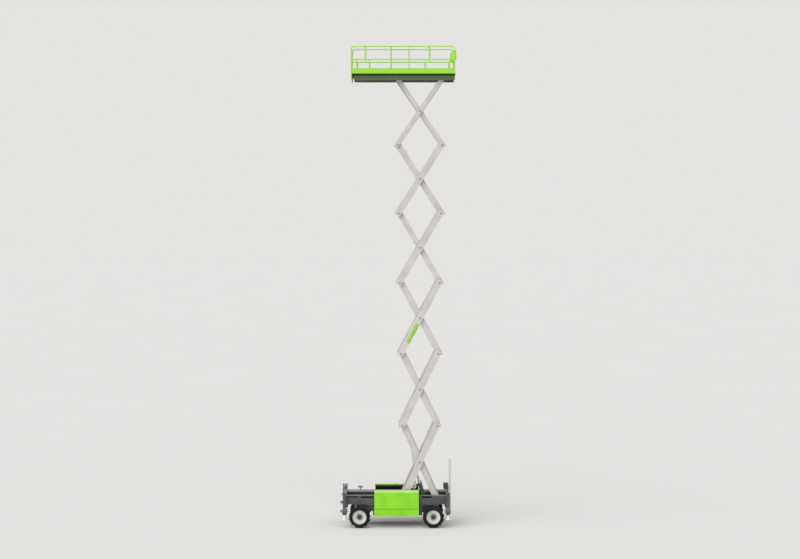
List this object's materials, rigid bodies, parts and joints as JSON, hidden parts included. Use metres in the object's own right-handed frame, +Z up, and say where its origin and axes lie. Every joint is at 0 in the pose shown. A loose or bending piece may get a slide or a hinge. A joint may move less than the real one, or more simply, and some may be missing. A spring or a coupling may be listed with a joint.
{
  "type": "rough-terrain scissor lift",
  "caption": "Four-wheeled scissor lift with a raised scissor stack, guarded platform with roll-out deck, side boxes and stabiliser legs.",
  "frame": {"origin": "on the ground under the middle of the machine's box", "axes": "+X to the ladder end, -Y to the near side, +Z up"},
  "size_m": [4.4599, 2.28, 18.4868],
  "materials": {
    "tyre_rubber": "matt rubber",
    "rim_paint": "satin enamel",
    "axle_iron": "painted casting",
    "chassis_paint": "satin enamel",
    "leg_steel": "ground steel",
    "rod_chrome": "hard chrome",
    "lime_paint": "gloss enamel",
    "deck_paint": "enamelled sheet",
    "arm_paint": "satin enamel",
    "block_iron": "painted casting",
    "ladder_alloy": "bare extrusion",
    "beacon_plastic": "moulded plastic"
  },
  "bodies": {
    "chassis": {"chassis_spine": "chassis_paint", "chassis_rails": "chassis_paint", "chassis_beams": "chassis_paint", "front_axle": "axle_iron", "rear_axle": "axle_iron", "leg_housings_front": "chassis_paint", "leg_housings_rear": "chassis_paint", "box_tray_near": "chassis_paint", "box_tray_far": "chassis_paint", "hydraulic_tank": "block_iron", "engine_block": "block_iron", "ladder": "ladder_alloy", "ground_controls": "chassis_paint", "beacon": "beacon_plastic"},
    "knuckle_near": {"knuckle_near": "axle_iron"},
    "knuckle_far": {"knuckle_far": "axle_iron"},
    "tie_rod": {"tie_rod": "axle_iron"},
    "lift_barrels": {"lift_barrels": "chassis_paint"},
    "lift_rods": {"lift_rods": "rod_chrome"},
    "box_cover_near": {"box_cover_near": "lime_paint"},
    "box_cover_far": {"box_cover_far": "lime_paint"},
    "platform": {"platform_deck": "deck_paint", "guard_rails": "lime_paint"},
    "gate": {"gate": "lime_paint"},
    "extension": {"extension_deck": "lime_paint"},
    "wheel_front_near": {"tyre_front_near": "tyre_rubber", "rim_front_near": "rim_paint"},
    "leg_front_near": {"leg_front_near": "leg_steel"},
    "wheel_front_far": {"tyre_front_far": "tyre_rubber", "rim_front_far": "rim_paint"},
    "leg_front_far": {"leg_front_far": "leg_steel"},
    "wheel_rear_near": {"tyre_rear_near": "tyre_rubber", "rim_rear_near": "rim_paint"},
    "leg_rear_near": {"leg_rear_near": "leg_steel"},
    "wheel_rear_far": {"tyre_rear_far": "tyre_rubber", "rim_rear_far": "rim_paint"},
    "leg_rear_far": {"leg_rear_far": "leg_steel"},
    "outer_arm_1": {"outer_arm_1": "arm_paint"},
    "inner_arm_1": {"inner_arm_1": "arm_paint"},
    "outer_arm_2": {"outer_arm_2": "arm_paint"},
    "inner_arm_2": {"inner_arm_2": "arm_paint"},
    "outer_arm_3": {"outer_arm_3": "arm_paint"},
    "inner_arm_3": {"inner_arm_3": "arm_paint"},
    "outer_arm_4": {"outer_arm_4": "arm_paint"},
    "inner_arm_4": {"inner_arm_4": "arm_paint"},
    "outer_arm_5": {"outer_arm_5": "arm_paint"},
    "inner_arm_5": {"inner_arm_5": "arm_paint"},
    "outer_arm_6": {"outer_arm_6": "arm_paint"},
    "inner_arm_6": {"inner_arm_6": "arm_paint"}
  },
  "joints": [
    {"name": "lift", "type": "hinge", "parent": "chassis", "child": "inner_arm_1", "pos_m": [1.45, 0, 1.07], "axis": [0, -1, 0], "range_deg": [0, 61]},
    {"name": "centre_1", "type": "hinge", "parent": "inner_arm_1", "child": "outer_arm_1", "pos_m": [0.83945, 0, 2.50003], "axis": [0, -1, 0], "range_deg": [-122.01, 0]},
    {"name": "left_1_2", "type": "hinge", "parent": "inner_arm_1", "child": "outer_arm_2", "pos_m": [0.17753, 0, 3.90159], "axis": [0, -1, 0], "range_deg": [-119.94, 0]},
    {"name": "centre_2", "type": "hinge", "parent": "outer_arm_2", "child": "inner_arm_2", "pos_m": [0.83945, 0, 5.30858], "axis": [0, -1, 0], "range_deg": [0, 117.86]},
    {"name": "right_2_3", "type": "hinge", "parent": "outer_arm_2", "child": "inner_arm_3", "pos_m": [1.55167, 0, 6.68526], "axis": [0, -1, 0], "range_deg": [0, 115.79]},
    {"name": "centre_3", "type": "hinge", "parent": "inner_arm_3", "child": "outer_arm_3", "pos_m": [0.83945, 0, 8.06747], "axis": [0, -1, 0], "range_deg": [-113.73, 0]},
    {"name": "left_3_4", "type": "hinge", "parent": "inner_arm_3", "child": "outer_arm_4", "pos_m": [0.07806, 0, 9.41758], "axis": [0, -1, 0], "range_deg": [-111.67, 0]},
    {"name": "centre_4", "type": "hinge", "parent": "outer_arm_4", "child": "inner_arm_4", "pos_m": [0.83945, 0, 10.77332], "axis": [0, -1, 0], "range_deg": [0, 109.61]},
    {"name": "right_4_5", "type": "hinge", "parent": "outer_arm_4", "child": "inner_arm_5", "pos_m": [1.64883, 0, 12.09522], "axis": [0, -1, 0], "range_deg": [0, 107.56]},
    {"name": "centre_5", "type": "hinge", "parent": "inner_arm_5", "child": "outer_arm_5", "pos_m": [0.83945, 0, 13.42287], "axis": [0, -1, 0], "range_deg": [-105.51, 0]},
    {"name": "left_5_6", "type": "hinge", "parent": "inner_arm_5", "child": "outer_arm_6", "pos_m": [-0.01668, 0, 14.71498], "axis": [0, -1, 0], "range_deg": [-103.47, 0]},
    {"name": "centre_6", "type": "hinge", "parent": "outer_arm_6", "child": "inner_arm_6", "pos_m": [0.83945, 0, 16.01297], "axis": [0, -1, 0], "range_deg": [0, 101.43]},
    {"name": "platform_level", "type": "hinge", "parent": "outer_arm_6", "child": "platform", "pos_m": [1.74104, 0, 17.27378], "axis": [0, -1, 0], "range_deg": [0, 50.72]},
    {"name": "cylinder_swing", "type": "hinge", "parent": "chassis", "child": "lift_barrels", "pos_m": [1.049, 0, 0.88], "axis": [0, -1, 0], "range_deg": [0, 68.97]},
    {"name": "cylinder_stroke", "type": "slide", "parent": "lift_barrels", "child": "lift_rods", "axis": [-0.275, 0, 0.9615], "range_m": [-0.40942, 0]},
    {"name": "steer", "type": "hinge", "parent": "chassis", "child": "knuckle_near", "pos_m": [-1.48, -0.85, 0.419], "axis": [0, 0, 1], "range_deg": [-35, 35]},
    {"name": "steer_far", "type": "hinge", "parent": "chassis", "child": "knuckle_far", "pos_m": [-1.48, 0.85, 0.419], "axis": [0, 0, 1], "range_deg": [-35, 35]},
    {"name": "tie_rod_swing", "type": "hinge", "parent": "knuckle_near", "child": "tie_rod", "pos_m": [-1.275, -0.85, 0.419], "axis": [0, 0, 1], "range_deg": [-35, 35]},
    {"name": "roll_front_near", "type": "hinge", "parent": "knuckle_near", "child": "wheel_front_near", "pos_m": [-1.48, -0.9875, 0.419], "axis": [0, 1, 0], "continuous": true},
    {"name": "roll_rear_near", "type": "hinge", "parent": "chassis", "child": "wheel_rear_near", "pos_m": [1.36, -0.9875, 0.419], "axis": [0, 1, 0], "continuous": true},
    {"name": "roll_front_far", "type": "hinge", "parent": "knuckle_far", "child": "wheel_front_far", "pos_m": [-1.48, 0.9875, 0.419], "axis": [0, 1, 0], "continuous": true},
    {"name": "roll_rear_far", "type": "hinge", "parent": "chassis", "child": "wheel_rear_far", "pos_m": [1.36, 0.9875, 0.419], "axis": [0, 1, 0], "continuous": true},
    {"name": "leg_front_near", "type": "slide", "parent": "chassis", "child": "leg_front_near", "axis": [0, 0, -1], "range_m": [0, 0.45]},
    {"name": "leg_front_far", "type": "slide", "parent": "chassis", "child": "leg_front_far", "axis": [0, 0, -1], "range_m": [0, 0.45]},
    {"name": "leg_rear_near", "type": "slide", "parent": "chassis", "child": "leg_rear_near", "axis": [0, 0, -1], "range_m": [0, 0.45]},
    {"name": "leg_rear_far", "type": "slide", "parent": "chassis", "child": "leg_rear_far", "axis": [0, 0, -1], "range_m": [0, 0.45]},
    {"name": "cover_near", "type": "hinge", "parent": "chassis", "child": "box_cover_near", "pos_m": [0, -0.857, 1.421], "axis": [-1, 0, 0], "range_deg": [0, 80]},
    {"name": "cover_far", "type": "hinge", "parent": "chassis", "child": "box_cover_far", "pos_m": [0, 0.857, 1.421], "axis": [1, 0, 0], "range_deg": [0, 80]},
    {"name": "gate", "type": "hinge", "parent": "platform", "child": "gate", "pos_m": [2.158, 0.3155, 0], "axis": [0, 0, -1], "range_deg": [0, 90]},
    {"name": "extension", "type": "slide", "parent": "platform", "child": "extension", "axis": [-1, 0, 0], "range_m": [0, 1.2]}
  ],
  "couplings": [
    {"joint": "centre_1", "follows": "lift", "ratio": -2},
    {"joint": "left_1_2", "follows": "lift", "ratio": -1.966},
    {"joint": "centre_2", "follows": "lift", "ratio": 1.932},
    {"joint": "right_2_3", "follows": "lift", "ratio": 1.8981},
    {"joint": "centre_3", "follows": "lift", "ratio": -1.8642},
    {"joint": "left_3_4", "follows": "lift", "ratio": -1.8305},
    {"joint": "centre_4", "follows": "lift", "ratio": 1.7968},
    {"joint": "right_4_5", "follows": "lift", "ratio": 1.7632},
    {"joint": "centre_5", "follows": "lift", "ratio": -1.7296},
    {"joint": "left_5_6", "follows": "lift", "ratio": -1.6961},
    {"joint": "centre_6", "follows": "lift", "ratio": 1.6627},
    {"joint": "platform_level", "follows": "lift", "ratio": 0.83134},
    {"joint": "cylinder_swing", "follows": "lift", "ratio": 1.1305},
    {"joint": "cylinder_stroke", "follows": "lift", "m_per_rad": -0.38409},
    {"joint": "steer_far", "follows": "steer", "ratio": 1},
    {"joint": "tie_rod_swing", "follows": "steer", "ratio": -1}
  ]
}
